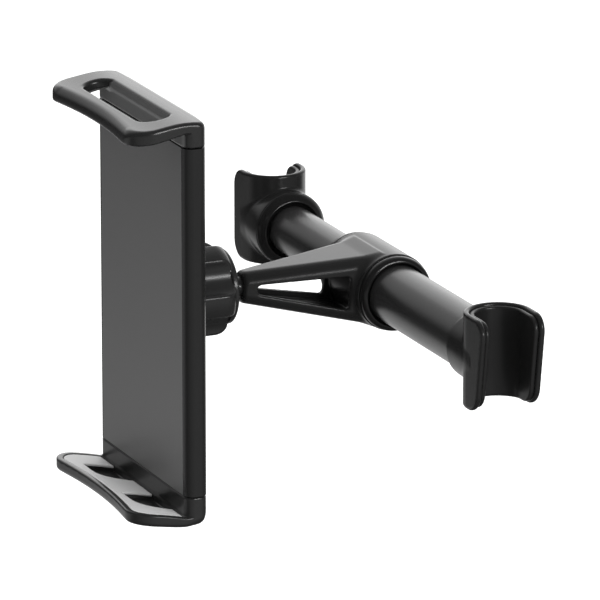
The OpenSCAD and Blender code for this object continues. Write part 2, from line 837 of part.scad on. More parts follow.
// Side outline of a hook with its wing corners rounded, carried across Y
module hook_side(height, reach, lean, r) {
    rise = height / 2 - r;
    slope = atan(lean / (2 * rise));
    low_x = reach - lean - r;
    high_x = reach - r;
    rotate([90, 0, 0]) translate([0, 0, -2 * hook_r]) linear_extrude(4 * hook_r) {
        polygon([
            [0, -height / 2], [low_x, -height / 2],
            [low_x + r * cos(slope), -rise - r * sin(slope)],
            [high_x + r * cos(slope), rise - r * sin(slope)],
            [high_x, height / 2], [0, height / 2]
        ]);
        translate([low_x, -rise]) circle(r);
        translate([high_x, rise]) circle(r);
    }
}

// Hook shell, with its boss's face at zero and its channel opening to +X
module hook_shell(offset, reach, lean, lift, bore_r) {
    difference() {
        union() {
            translate([0, 0, lift]) intersection() {
                translate([offset, 0, -hook_h / 2]) linear_extrude(hook_h) hook_plan(hook_r, reach);
                hook_side(hook_h, offset + reach, lean, wing_corner_r);
            }
            along_x() rotate_extrude() children();
        }
        translate([offset, 0, -hook_h]) linear_extrude(2 * hook_h) hook_plan(liner_out_r, 2 * reach);
        along_x() translate([0, 0, -1]) cylinder(r = bore_r, h = tube_in_hook + 1);
    }
}

// Half section of a boss: it swells from its face, then runs out along the wings
module boss_section(face_r, face_x, swell_r, swell_x, end_x) {
    polygon(concat(
        [[0, face_x]],
        curve([[face_r, face_x], [face_r + (swell_r - face_r) * 0.5, face_x], [swell_r, swell_x * 0.6], [swell_r, swell_x]], 6),
        curve([[swell_r, swell_x], [swell_r, swell_x + 3], [hook_r + 0.4, end_x - 4], [hook_r - 0.1, end_x]], 8),
        [[hook_r - 0.1, end_x], [0, end_x]]
    ));
}

// Rubber liner inside the hook's channel
module hook_liner(offset, reach, lean, lift) {
    height = hook_h - 2 * liner_step;
    translate([0, 0, lift]) intersection() {
        difference() {
            translate([offset, 0, -height / 2]) linear_extrude(height) hook_plan(liner_out_r, 2 * reach);
            translate([offset, 0, -hook_h]) linear_extrude(2 * hook_h) hook_plan(post_r, 3 * reach);
        }
        hook_side(height, offset + reach - liner_step, lean, wing_corner_r - liner_step);
    }
}

module at_right_hook() {
    translate([right_hook_x, 0, 0]) children();
}

module at_left_hook() {
    translate([left_hook_x, 0, 0]) rotate([0, 180, 0]) children();
}

module right_hook() {
    color("#2d2d2f") at_right_hook() hook_shell(right_offset, right_wing_len, right_wing_lean, -right_hook_drop, tube_r)
        boss_section(right_boss_r - 0.2, 0, right_boss_r, 1, right_offset + 2);
}

module right_liner() {
    color("#1c1c1e") at_right_hook() hook_liner(right_offset, right_wing_len, right_wing_lean, -right_hook_drop);
}

module left_hook() {
    color("#2d2d2f") at_left_hook() hook_shell(left_offset, left_wing_len, 0, -left_hook_lift, rod_r)
        boss_section(left_boss_r - 0.2, collar_len, left_boss_r, collar_len + 2, left_offset + 1);
}

// Dished ring on the rod in front of the left hook's boss
module left_collar() {
    color("#18181a") at_left_hook() along_x() rotate_extrude() polygon(concat(
        [[rod_r + 1.2, 0], [collar_r - 0.4, 0]],
        curve([[collar_r, 0.3], [collar_r + 0.7, 0.3 * collar_len], [left_boss_r - 0.5, 0.7 * collar_len], [left_boss_r - 0.2, collar_len]], 6),
        [[left_boss_r - 0.2, collar_len], [rod_r, collar_len], [rod_r, collar_len - 0.9], [rod_r + 1.2, collar_len - 0.9]]
    ));
}

module left_liner() {
    color("#1c1c1e") at_left_hook() hook_liner(left_offset, left_wing_len, 0, -left_hook_lift);
}

arm();
sleeve_ring_left();
sleeve_ring_right();
wide_tube();
mouth_bush();
spring_seat();
bar_spring();
right_hook();
right_liner();
sliding_rod();
rod_plug();
left_hook();
left_collar();
left_liner();
ball_cup();
ball_washer();
lock_nut();
rear_cover();
front_panel();
cover_screws();
top_jaw();
top_pad();
top_rails();
top_spring();
bottom_jaw();
bottom_pad();
bottom_rails();
bottom_spring();
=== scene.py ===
"""Headrest tablet holder: the moulded parts are shaped as rounded solids round the
CAD frame, and every surface gets its own material. Lengths are in millimetres, and
from the floor on in metres, as Blender has them."""

import math

import bpy
import numpy as np
from mathutils import Matrix, Vector


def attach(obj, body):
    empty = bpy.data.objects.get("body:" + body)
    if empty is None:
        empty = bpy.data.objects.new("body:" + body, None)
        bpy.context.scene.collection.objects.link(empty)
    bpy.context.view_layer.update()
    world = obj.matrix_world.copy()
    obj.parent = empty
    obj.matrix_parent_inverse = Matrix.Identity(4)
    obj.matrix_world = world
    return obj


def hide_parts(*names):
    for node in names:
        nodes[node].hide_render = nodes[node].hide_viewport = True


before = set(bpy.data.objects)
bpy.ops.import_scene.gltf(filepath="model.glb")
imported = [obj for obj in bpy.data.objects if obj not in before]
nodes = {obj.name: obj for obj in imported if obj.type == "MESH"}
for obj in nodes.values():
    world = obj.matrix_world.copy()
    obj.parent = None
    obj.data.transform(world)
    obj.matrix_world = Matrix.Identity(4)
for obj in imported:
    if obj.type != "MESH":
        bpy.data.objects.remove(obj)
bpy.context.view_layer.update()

MM = 0.001

# Driving sizes
# The same named sizes as in the part's source, in millimetres, with angles given in degrees.
ARM_PITCH = math.radians(4.5)
ARM_LEN = 55.0
BODY_H = 105.0
BODY_W = 68.0
SIDE_T = 7.0
MID_T = 9.0
MID_W = 40.0
PANEL_W = 61.4
PANEL_Y = -20.7
SEAM_GAP = 0.3
LIP_REACH = 16.6
LIP_CORNER_R = 8.0
LIP_HOLLOW = 2.0
TOP_JAW_H, BOTTOM_JAW_H = 7.4, 8.6
TOP_SWELL, BOTTOM_SWELL = 1.1, 1.0
TOP_EDGE_H, BOTTOM_EDGE_H = 1.6, 3.2
TOP_GRIP_H, BOTTOM_GRIP_H = 4.4, 5.9
TOP_NOSE_T, BOTTOM_NOSE_T = 4.4, 3.8
HEEL_R = 4.0
EDGE_R = 1.2
HOLLOW_LEN = 15.5
HOLLOW_DEPTH = 10.2
HOLLOW_STARTS = (-0.316, 0.125)
WINDOW_LEN = 49.0
WINDOW_W = 9.6
PAD_T = 1.0
RIM_W = 2.0
ARM_END = 10.5
ARM_W0, ARM_W1 = 4.3, 12.3
ARM_H0, ARM_H1 = 4.7, 10.9
ARM_WALL = 2.0
WINDOW_UP, WINDOW_DOWN = 4.6, 5.8
SLEEVE_R = 11.75
SLEEVE_END = 13.5
RING_LEN = 3.0
TUBE_R = 9.0
ROD_R = 7.5
RIGHT_HOOK_X = 71.5
LEFT_HOOK_X = -60.8
RIGHT_OFFSET, LEFT_OFFSET = 14.1, 15.9
RIGHT_WING, LEFT_WING = 9.9, 7.0
RIGHT_LEAN = 2.6
RIGHT_DROP, LEFT_LIFT = 0.4, 1.9
RIGHT_BOSS_R, LEFT_BOSS_R = 10.3, 11.5
TUBE_IN_HOOK = 5.0
HOOK_H = 28.2
HOOK_R = 10.2
HOOK_WALL = 1.7
LINER_T = 1.5
LINER_STEP = 0.7
WING_CORNER_R = 5.5
COLLAR_R = 9.6
COLLAR_LEN = 2.0
NUT_R = 14.2
NUT_RIM_R = 11.3
NUT_RIM_W = 1.5
NUT_BORE_R = 9.1
NUT_MOUTH_R = 7.7
NUT_Y0, NUT_Y1 = -8.0, 6.0
SCALLOP_R = 6.5
SCALLOP_DEPTH = 3.6
SCALLOP_TURN = 26.5
SCALLOPS = 5
BALL_R = 6.5
NECK_R = 2.8

# Places of the moulded parts
ARM_FRAME = Matrix.Rotation(-ARM_PITCH, 4, "X")
BALL_AT = ARM_FRAME @ Vector((0.0, -ARM_LEN, 0.0))
CRADLE_FRAME = Matrix.Translation(BALL_AT)
JAW_RISE = Matrix.Translation((0, 0, BODY_H / 2 + SEAM_GAP))
TOP_FRAME = CRADLE_FRAME @ JAW_RISE
BOTTOM_FRAME = CRADLE_FRAME @ Matrix.Diagonal((1, 1, -1, 1)) @ JAW_RISE
HALF_TURN = Matrix.Rotation(math.pi, 4, "Y")
RIGHT_FRAME = Matrix.Translation((RIGHT_HOOK_X, 0, 0))
LEFT_FRAME = Matrix.Translation((LEFT_HOOK_X, 0, 0)) @ HALF_TURN
SLEEVE_FACE = Matrix.Translation((SLEEVE_END, 0, 0))

# Distance fields
# A field takes arrays of coordinates and gives the distance to a solid, below zero inside.
TINY = 1e-9
SHORTEST_RUN = 1e-6
STEEPEST = 4


def both(a, b, r=0.0):
    """Where two solids meet, with their shared edge rounded to radius r."""
    if np.ndim(r) == 0 and r <= 0:
        return np.maximum(a, b)
    return np.minimum(-r, np.maximum(a, b)) + np.hypot(np.maximum(a + r, 0), np.maximum(b + r, 0))


def joined(a, b, r=0.0):
    """Two solids together, with a fillet of radius r between them."""
    if np.ndim(r) == 0 and r <= 0:
        return np.minimum(a, b)
    return np.maximum(r, np.minimum(a, b)) - np.hypot(np.maximum(r - a, 0), np.maximum(r - b, 0))


def cut(a, b, r=0.0):
    """Solid a without solid b, with the rim rounded to radius r."""
    return both(a, -b, r)


def box2(u, v, half_u, half_v, r):
    """Distance to a rectangle round the origin whose corners have radius r."""
    du = np.abs(u) - half_u + r
    dv = np.abs(v) - half_v + r
    return np.hypot(np.maximum(du, 0), np.maximum(dv, 0)) + np.minimum(np.maximum(du, dv), 0) - r


def outline(u, v, points):
    """Distance to a closed outline given by its corner points."""
    near = None
    inside = None
    for (u0, v0), (u1, v1) in zip(points, points[1:] + points[:1]):
        eu, ev = u1 - u0, v1 - v0
        t = np.clip(((u - u0) * eu + (v - v0) * ev) / (eu * eu + ev * ev), 0, 1)
        gap = np.hypot(u - u0 - t * eu, v - v0 - t * ev)
        near = gap if near is None else np.minimum(near, gap)
        crosses = ((v0 > v) != (v1 > v)) & ((u1 - u0) * (v - v0) / ((v1 - v0) or TINY) + u0 > u)
        inside = crosses if inside is None else inside ^ crosses
    return np.where(inside, -near, near)


def curve(handles, steps):
    """Points along a cubic curve, without the last."""
    points = []
    for i in range(steps):
        t = i / steps
        weights = ((1 - t) ** 3, 3 * t * (1 - t) ** 2, 3 * t * t * (1 - t), t ** 3)
        points.append(tuple(sum(w * h[a] for w, h in zip(weights, handles)) for a in (0, 1)))
    return points


def along(u, line):
    """Height of a line of (u, v) points at u, and how much longer its slope makes it."""
    us, vs = np.array(sorted(line)).T
    rise = np.diff(vs) / np.maximum(np.diff(us), SHORTEST_RUN)
    slope = np.interp(u, (us[1:] + us[:-1]) / 2, np.clip(rise, -STEEPEST, STEEPEST))
    return np.interp(u, us, vs), np.sqrt(1 + slope * slope)


def turns_left(a, b, c):
    """Whether the way from a through b to c turns left."""
    return (b[0] - a[0]) * (c[1] - a[1]) > (b[1] - a[1]) * (c[0] - a[0])


def hull(points):
    """Convex outline round points, counter-clockwise."""
    points = sorted(set(points))

    def half(row):
        out = []
        for p in row:
            while len(out) > 1 and not turns_left(out[-2], out[-1], p):
                out.pop()
            out.append(p)
        return out[:-1]

    return half(points) + half(points[::-1])


def ellipse(cx, cy, rx, ry, steps=48):
    """Points round an ellipse."""
    turns = [math.radians(360 * i / steps) for i in range(steps + 1)]
    return [(cx + rx * math.cos(turn), cy + ry * math.sin(turn)) for turn in turns]


# Meshes of the fields
# The grid reaches a little past its box, and each point is moved onto the surface along the slope.
CORNERS = [(i, j, k) for i in (0, 1) for j in (0, 1) for k in (0, 1)]
STEPS_BEFORE, STEPS_AFTER = 1.3, 2.3
PROBE = 0.02
FIT_ROUNDS = 2
FLATTEST = 0.25
LONGEST_MOVE = 0.5
TURN_SIDES = 96


def crossed_cells(value):
    """Grid cells that the surface passes through, and the middle of where it cuts their edges."""
    inside = value < 0
    ends = [n - 1 for n in inside.shape]
    count = sum(
        inside[i:ends[0] + i, j:ends[1] + j, k:ends[2] + k].astype(int)
        for i, j, k in CORNERS
    )
    cells = np.argwhere((count > 0) & (count < len(CORNERS)))
    total = np.zeros((len(cells), 3))
    hits = np.zeros(len(cells))
    for a in CORNERS:
        for axis in range(3):
            if a[axis]:
                continue
            b = tuple(a[n] + (n == axis) for n in range(3))
            va = value[tuple((cells + a).T)]
            vb = value[tuple((cells + b).T)]
            hit = (va < 0) != (vb < 0)
            t = np.where(hit, va / np.where(va == vb, 1, va - vb), 0)
            total += hit[:, None] * (np.array(a) + t[:, None] * (np.array(b) - np.array(a)))
            hits += hit
    return cells, total / hits[:, None]


def quads_between(inside, cells):
    """Quads that join the points of neighbouring cells, facing outward."""
    index = -np.ones([n - 1 for n in inside.shape], dtype=int)
    index[tuple(cells.T)] = np.arange(len(cells))
    faces = []
    for axis in range(3):
        u, v = [n for n in range(3) if n != axis]
        lower = [slice(1, -1)] * 3
        lower[axis] = slice(0, -1)
        upper = list(lower)
        upper[axis] = slice(1, None)
        a = inside[tuple(lower)]
        b = inside[tuple(upper)]
        first = np.ones(3, dtype=int)
        first[axis] = 0
        for flip in (False, True):
            spots = np.argwhere(a & ~b if flip else ~a & b) + first
            ring = []
            for du, dv in ((0, 0), (1, 0), (1, 1), (0, 1)):
                shift = np.zeros(3, dtype=int)
                shift[u] = du
                shift[v] = dv
                ring.append(index[tuple((spots - shift).T)])
            quads = np.stack(ring, axis=1)
            if flip != (axis == 1):
                quads = quads[:, ::-1]
            faces.append(quads)
    return np.concatenate(faces)


def slope_of(field, points):
    """How fast the field grows along each axis at the points."""
    slopes = []
    for n in range(3):
        ahead = field(*[points[:, m] + PROBE * (m == n) for m in range(3)])
        behind = field(*[points[:, m] - PROBE * (m == n) for m in range(3)])
        slopes.append((ahead - behind) / (2 * PROBE))
    return np.stack(slopes, axis=1)


def mesh_of(field, low, high, step):
    """Points and quads of the surface where the field is zero."""
    axes = [
        np.arange(a - STEPS_BEFORE * step, b + STEPS_AFTER * step, step)
        for a, b in zip(low, high)
    ]
    x, y, z = axes[0][:, None, None], axes[1][None, :, None], axes[2][None, None, :]
    value = np.array(np.broadcast_to(field(x, y, z), [len(a) for a in axes]), dtype=float)
    value[value == 0] = TINY
    cells, middles = crossed_cells(value)
    points = np.array([a[0] for a in axes]) + (cells + middles) * step
    for _ in range(FIT_ROUNDS):
        distance = np.broadcast_to(field(*[points[:, n] for n in range(3)]), len(points))
        slope = slope_of(field, points)
        steepness = np.maximum((slope ** 2).sum(1), FLATTEST)
        move = -(distance / steepness)[:, None] * slope
        points = points + np.clip(move, -LONGEST_MOVE * step, LONGEST_MOVE * step)
    return points, quads_between(value < 0, cells)


def piece(name, points, faces, place, material, body, replaced):
    """A Blender object from points in a local frame, standing for its CAD nodes."""
    mesh = bpy.data.meshes.new(name)
    place = np.array(place)
    points = (points @ place[:3, :3].T + place[:3, 3]) * MM
    if np.linalg.det(place[:3, :3]) < 0:
        faces = [tuple(f)[::-1] for f in faces]
    mesh.from_pydata(points.tolist(), [], [tuple(int(i) for i in f) for f in faces])
    mesh.polygons.foreach_set("use_smooth", [True] * len(mesh.polygons))
    mesh.update()
    mesh.validate()
    mesh.materials.append(material)
    obj = bpy.data.objects.new(name, mesh)
    bpy.context.scene.collection.objects.link(obj)
    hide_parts(*replaced)
    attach(obj, body)


def moulded(name, field, low, high, step, place, material, body, replaced):
    """A piece with the shape of a field, looked for between two corners on a grid."""
    points, faces = mesh_of(field, low, high, step)
    piece(name, points, faces, place, material, body, replaced)


def turned(name, profile, place, material, body, replaced):
    """A ring turned about its local X from a closed profile of (x, radius) points."""
    turns = [2 * math.pi * i / TURN_SIDES for i in range(TURN_SIDES)]
    points = np.array([
        (x, r * math.cos(turn), r * math.sin(turn)) for turn in turns for x, r in profile
    ])
    count = len(profile)
    faces = []
    for i in range(TURN_SIDES):
        here = i * count
        there = (i + 1) % TURN_SIDES * count
        for j in range(count):
            k = (j + 1) % count
            faces.append((here + j, here + k, there + k, there + j))
    piece(name, points, faces, place, material, body, replaced)


# Node helpers
WHITE = (1, 1, 1, 1)


def grey(value):
    """Linear colour from an sRGB grey of 0 to 255."""
    share = value / 255
    linear = share / 12.92 if value <= 10 else ((share + 0.055) / 1.055) ** 2.4
    return (linear, linear, linear, 1.0)


def ranged(tree, source, low, high, from_low=0.0, from_high=1.0):
    """The source, stretched from one range to another and held at its ends."""
    node = tree.nodes.new("ShaderNodeMapRange")
    node.inputs["From Min"].default_value = from_low
    node.inputs["From Max"].default_value = from_high
    node.inputs["To Min"].default_value = low
    node.inputs["To Max"].default_value = high
    tree.links.new(source, node.inputs["Value"])
    return node.outputs["Result"]


def combined(tree, operation, first, second):
    """The result of a maths operation on two sources."""
    node = tree.nodes.new("ShaderNodeMath")
    node.operation = operation
    tree.links.new(first, node.inputs[0])
    tree.links.new(second, node.inputs[1])
    return node.outputs["Value"]


def axes_of(tree, vector):
    """The X, Y and Z outputs of a vector."""
    node = tree.nodes.new("ShaderNodeSeparateXYZ")
    tree.links.new(vector, node.inputs["Vector"])
    return node.outputs


def blend_of(tree, factor, first, second):
    """A node that gives a colour between two, by a factor of 0 to 1."""
    node = tree.nodes.new("ShaderNodeMixRGB")
    node.inputs["Color1"].default_value = first
    node.inputs["Color2"].default_value = second
    tree.links.new(factor, node.inputs["Fac"])
    return node


def noise(tree, place, scale, detail):
    """Noise of 0 to 1 over a place."""
    node = tree.nodes.new("ShaderNodeTexNoise")
    node.inputs["Scale"].default_value = scale
    node.inputs["Detail"].default_value = detail
    tree.links.new(place, node.inputs["Vector"])
    return node.outputs["Fac"]


# Materials
# Shades are sRGB greys of 0 to 255, and noise scales are per metre.
FINE_SCALE = 900.0
PAD_SCALE = 600
SLOW_SCALE = 30
FINE_DETAIL = 3
SLOW_DETAIL = 2
TONE_SPREAD = 0.05
GLOSS_SPREAD = 0.03
GRAIN_DEPTH = 0.0001
PANEL_SHADE = 78


def plastic(name, shade, rough, grain=0.03, scale=FINE_SCALE, metallic=0.0, specular=0.5):
    """Satin surface: a grain in its normal, and slow changes of colour and gloss."""
    mat = bpy.data.materials.new(name)
    mat.use_nodes = True
    tree = mat.node_tree
    shader = tree.nodes["Principled BSDF"]
    place = tree.nodes.new("ShaderNodeTexCoord").outputs["Object"]
    fine = noise(tree, place, scale, FINE_DETAIL)
    slow = noise(tree, place, SLOW_SCALE, SLOW_DETAIL)
    base = grey(shade)[:3]
    darker = (*[c * (1 - TONE_SPREAD) for c in base], 1)
    paler = (*[c * (1 + TONE_SPREAD) for c in base], 1)
    tone = blend_of(tree, slow, darker, paler)
    tree.links.new(tone.outputs["Color"], shader.inputs["Base Color"])
    gloss = ranged(tree, slow, rough - GLOSS_SPREAD, rough + GLOSS_SPREAD)
    tree.links.new(gloss, shader.inputs["Roughness"])
    bump = tree.nodes.new("ShaderNodeBump")
    bump.inputs["Strength"].default_value = grain
    bump.inputs["Distance"].default_value = GRAIN_DEPTH
    tree.links.new(fine, bump.inputs["Height"])
    tree.links.new(bump.outputs["Normal"], shader.inputs["Normal"])
    shader.inputs["Metallic"].default_value = metallic
    shader.inputs["Specular IOR Level"].default_value = specular
    return mat


# Two copies of the jaw plastic: the top one gets a pale wall below, and the bottom one keeps a black wall
# as painted shade.
TOP_JAW_BLACK = plastic("top_jaw_black", 28, 0.26, grain=0.1, specular=0.4)
JAW_BLACK = plastic("jaw_black", 28, 0.28, grain=0.1, specular=0.4)
BLACK = plastic("satin_black", 26, 0.25, grain=0.06, specular=0.25)
RING = plastic("gloss_black", 20, 0.2, specular=0.3)
TUBE = plastic("coated_tube", 34, 0.25, grain=0.015, specular=0.45)
PANEL = plastic("panel_charcoal", PANEL_SHADE, 0.4, specular=0.5)
NUT = plastic("nut_black", 32, 0.26, specular=0.3)
LINER = plastic("liner_rubber", 24, 0.3, grain=0.05, specular=0.25)
DARK_PAD = plastic("pad_dark", 80, 0.6, grain=0.12, scale=PAD_SCALE)
LIGHT_PAD = plastic("pad_light", 192, 0.55, grain=0.12, scale=PAD_SCALE)
ACETAL = plastic("acetal_black", 24, 0.4, specular=0.3)
NYLON = plastic("seat_nylon", 66, 0.45)
STEEL = plastic("spring_steel", 178, 0.28, metallic=1.0)
RAIL = plastic("rail_steel", 165, 0.34, metallic=1.0)
SCREW = plastic("screw_black", 52, 0.35, metallic=0.4)

# Finishes of the CAD nodes that stay as they are
FINISH = {
    "wide_tube": TUBE, "sliding_rod": TUBE, "mouth_bush": ACETAL, "spring_seat": ACETAL,
    "rod_plug": ACETAL, "bar_spring": STEEL, "ball_cup": NYLON, "ball_washer": NYLON,
    "rear_cover": BLACK, "front_panel": PANEL, "cover_screws": SCREW,
    "top_rails": RAIL, "bottom_rails": RAIL, "top_spring": STEEL, "bottom_spring": STEEL,
}
for name, finish in FINISH.items():
    nodes[name].data.materials.clear()
    nodes[name].data.materials.append(finish)

# Outline of the cradle's body, seen from above
LIP_Y = PANEL_Y - LIP_REACH
SIDE_BACK_Y = PANEL_Y + SIDE_T
MID_BACK_Y = PANEL_Y + MID_T
SIDE_CORNER_R = 0.4 * SIDE_T
SIDE_CORNER_X = BODY_W / 2 - SIDE_CORNER_R
MID_CORNER_R = 2
FRONT_ROUND = 0.4 * SIDE_T
BODY_OUTLINE = hull([
    point for side in (-1, 1) for point in (
        ellipse(side * SIDE_CORNER_X, SIDE_BACK_Y - SIDE_CORNER_R, SIDE_CORNER_R, SIDE_CORNER_R)
        + ellipse(side * MID_W / 2, MID_BACK_Y - MID_CORNER_R, MID_CORNER_R, MID_CORNER_R)
        + ellipse(side * PANEL_W / 2, PANEL_Y + FRONT_ROUND, (BODY_W - PANEL_W) / 2, FRONT_ROUND)
    )
])

# Plans and section lines of the jaws
# Crest, fall, flat and rise are shares of the lip's reach, as in the part's source.
FRONT_BLEND = 0.03
CREST, FALL = 0.2, 0.42
FACE_FLAT, FACE_RISE = 0.29, 0.36
FACE_DIP = 1.5
FACE_LEAD = 1
LINE_STEPS = 40
WINDOW_BACK = 0.4
WINDOW_MARGIN = 0.8
HOLLOW_ROUND = 0.65
HOLLOW_POWER = 2.67
HOLLOW_GAP = 0.3
HOLLOW_CORNER_R = 0.3
PAD_GAP = 0.4
PAD_CORNER_R = 0.3


def lip_plan(x, y, inset=0.0):
    """Plan of a lip: round front corners and a hollow front edge."""
    half = BODY_W / 2 - inset
    r = LIP_CORNER_R - inset
    share = 1 - (x / (half - r)) ** 2
    front = LIP_Y + inset + LIP_HOLLOW * 0.5 * (share + np.sqrt(share * share + FRONT_BLEND))
    shape = both(front - y, np.abs(x) - half, r)
    return both(shape, y - PANEL_Y - SIDE_CORNER_R)


def roof_line(height, swell, edge_h, nose_t):
    """Section of the outside of a jaw, from its heel over the swell to the nose."""
    nose_h = edge_h + nose_t
    return curve([
        (MID_BACK_Y - HEEL_R, height), (PANEL_Y - CREST * LIP_REACH, height + swell),
        (PANEL_Y - FALL * LIP_REACH, nose_h), (LIP_Y, nose_h),
    ], LINE_STEPS) + [(LIP_Y, nose_h)]


def face_line(edge_h, face_h):
    """Section of the grip face of a jaw, from its lip to the panel."""
    return curve([
        (LIP_Y - FACE_LEAD, edge_h), (LIP_Y + FACE_FLAT * LIP_REACH, edge_h),
        (PANEL_Y - FACE_RISE * LIP_REACH, face_h - FACE_DIP), (PANEL_Y, face_h),
    ], LINE_STEPS) + [(PANEL_Y, face_h)]


def window_plan(x, y, grow=0.0):
    """Plan of the top jaw's window, a slot with round ends."""
    middle_y = PANEL_Y - WINDOW_W / 2 + WINDOW_BACK
    half_w = WINDOW_W / 2 + grow
    return box2(x, y - middle_y, WINDOW_LEN / 2 + grow, half_w, half_w)


def hollows_plan(x, y):
    """Two finger hollows in front of the panel: square at one end and round at the other."""
    long = HOLLOW_ROUND * HOLLOW_LEN
    shapes = []
    for start in HOLLOW_STARTS:
        u = x - start * BODY_W
        across = np.maximum(u - HOLLOW_LEN + long, 0) / long
        deep = np.maximum(PANEL_Y - y, 0) / HOLLOW_DEPTH
        lens = ((across ** HOLLOW_POWER + deep ** HOLLOW_POWER) ** (1 / HOLLOW_POWER) - 1) * long
        shapes.append(both(both(lens, -u, HOLLOW_CORNER_R), y - PANEL_Y + HOLLOW_GAP))
    return np.minimum(*shapes)


def pad_plan(x, y, inset):
    """Plan of a pad or its pocket, inset from the lip's outline."""
    return both(lip_plan(x, y, inset), y - (PANEL_Y - PAD_GAP), PAD_CORNER_R)


# Jaws
# The nose radius holds along the front edge, and fades out over these two ranges
# towards the panel and towards the corners.
NOSE_Y = (LIP_Y + 4, LIP_Y + 10)
NOSE_X = (BODY_W / 2 - 9, BODY_W / 2 - 1)
TOP_NOSE_R, BOTTOM_NOSE_R = 3.0, 1.4
TOP_REAR_R, BOTTOM_REAR_R = 1.4, 3.2
LIP_RIM_R = 0.45
WINDOW_RIM_R = 1.1
WALL_RIM_R = 0.3
WALL_LAP = 1.2
POCKET_RIM_R = 0.35
HOLLOW_DROP = 1
HOLLOW_FLOOR_R = 0.3
HOLLOW_RIM_R = 0.25
PAD_LIFT = 0.15
PAD_SIDE_GAP = 0.1
PAD_EDGE_R = 0.35
PAD_HOLE_R = 0.3
# The fillet between the lip and the wall shrinks to almost nothing behind the panel's face.
CORNER_R = (0.7, 0.01)
CORNER_Y = (PANEL_Y + 0.5, PANEL_Y + 1.5)
# A step inside the seam keeps light from showing through between the body and a jaw.
STEP_IN = 0.8
STEP_DOWN = 0.8 * SEAM_GAP
STEP_LAP = 2


def jaw_field(roof, face, window, nose_r, rear_r):
    """A jaw and its lip between two section lines, with a window or with finger hollows."""
    def field(x, y, z):
        nose = np.interp(y, NOSE_Y, (1, 0)) * np.interp(np.abs(x), NOSE_X, (1, 0))
        edge_r = np.interp(y, (PANEL_Y, SIDE_BACK_Y), (EDGE_R, rear_r))
        edge_r = edge_r + (nose_r - EDGE_R) * nose
        roof_z, roof_k = along(y, roof)
        face_z, face_k = along(y, face)
        top = both((z - roof_z) / roof_k, y - MID_BACK_Y, HEEL_R)
        body = outline(x, y, BODY_OUTLINE)
        lip = both(joined(lip_plan(x, y), body), (face_z - z) / face_k, LIP_RIM_R)
        lip = both(lip, top, edge_r)
        if window:
            lip = cut(lip, both(window_plan(x, y), y - PANEL_Y), WINDOW_RIM_R)
        wall = both(both(body, PANEL_Y - y), -z, WALL_RIM_R)
        wall = both(wall, z - face_z - WALL_LAP)
        step = both(body + STEP_IN, both(-STEP_DOWN - z, z - STEP_LAP))
        wall = both(joined(wall, step), top, edge_r)
        solid = joined(lip, wall, np.interp(y, CORNER_Y, CORNER_R))
        floor = (z - face_z - PAD_T) / face_k
        solid = cut(solid, both(pad_plan(x, y, RIM_W), floor), POCKET_RIM_R)
        if window:
            return solid
        hollows = both(hollows_plan(x, y), floor - HOLLOW_DROP, HOLLOW_FLOOR_R)
        return cut(solid, hollows, HOLLOW_RIM_R)

    return field


def pad_field(face, window):
    """The pad in a jaw's pocket, open round the window or the finger hollows."""
    def field(x, y, z):
        face_z, face_k = along(y, face)
        sheet = np.maximum((z - face_z - PAD_T) / face_k, (face_z + PAD_LIFT - z) / face_k)
        solid = both(pad_plan(x, y, RIM_W + PAD_SIDE_GAP), sheet, PAD_EDGE_R)
        if window:
            return cut(solid, window_plan(x, y, WINDOW_MARGIN), PAD_EDGE_R)
        return cut(solid, hollows_plan(x, y), PAD_HOLE_R)

    return field


# The wall's paint covers what faces forward, where the normal's Y is in the first range,
# and starts between two distances in front of the panel's face.
WALL_FACING = (-0.95, -0.8)
WALL_STARTS = (0.6, 0.4)


def pale_wall(material, wall_y, shade):
    """Paints the upright wall behind the lip as pale as the panel that it meets. Only the top jaw gets it;
    the bottom jaw's wall, which is the same grey, stays black as painted shade.
    """
    tree = material.node_tree
    base = tree.nodes["Principled BSDF"].inputs["Base Color"]
    place = tree.nodes.new("ShaderNodeTexCoord").outputs
    way = axes_of(tree, place["Normal"])
    spot = axes_of(tree, place["Object"])
    facing = ranged(tree, way["Y"], 1.0, 0.0, *WALL_FACING)
    at_wall = ranged(tree, spot["Y"], 0.0, 1.0, *[wall_y - start * MM for start in WALL_STARTS])
    paint = blend_of(tree, combined(tree, "MULTIPLY", facing, at_wall), WHITE, grey(shade))
    tree.links.new(base.links[0].from_socket, paint.inputs["Color1"])
    tree.links.new(paint.outputs["Color"], base)


# The boxes that hold the jaws and pads in their own frames, and the grids they are found on
JAW_LOW = (-BODY_W / 2, LIP_Y - 1.2, -SEAM_GAP)
JAW_HIGH = (BODY_W / 2, MID_BACK_Y, 11)
PAD_HIGH = (BODY_W / 2, PANEL_Y, 7.5)
JAW_GRID = 0.4
LOWER_PAD_GRID, UPPER_PAD_GRID = 0.33, 0.4

TOP_FACE = face_line(TOP_EDGE_H, TOP_GRIP_H)
TOP_ROOF = roof_line(TOP_JAW_H, TOP_SWELL, TOP_EDGE_H, TOP_NOSE_T)
TOP_JAW = jaw_field(TOP_ROOF, TOP_FACE, True, TOP_NOSE_R, TOP_REAR_R)
BOTTOM_FACE = face_line(BOTTOM_EDGE_H, BOTTOM_GRIP_H)
BOTTOM_ROOF = roof_line(BOTTOM_JAW_H, BOTTOM_SWELL, BOTTOM_EDGE_H, BOTTOM_NOSE_T)
BOTTOM_JAW = jaw_field(BOTTOM_ROOF, BOTTOM_FACE, False, BOTTOM_NOSE_R, BOTTOM_REAR_R)
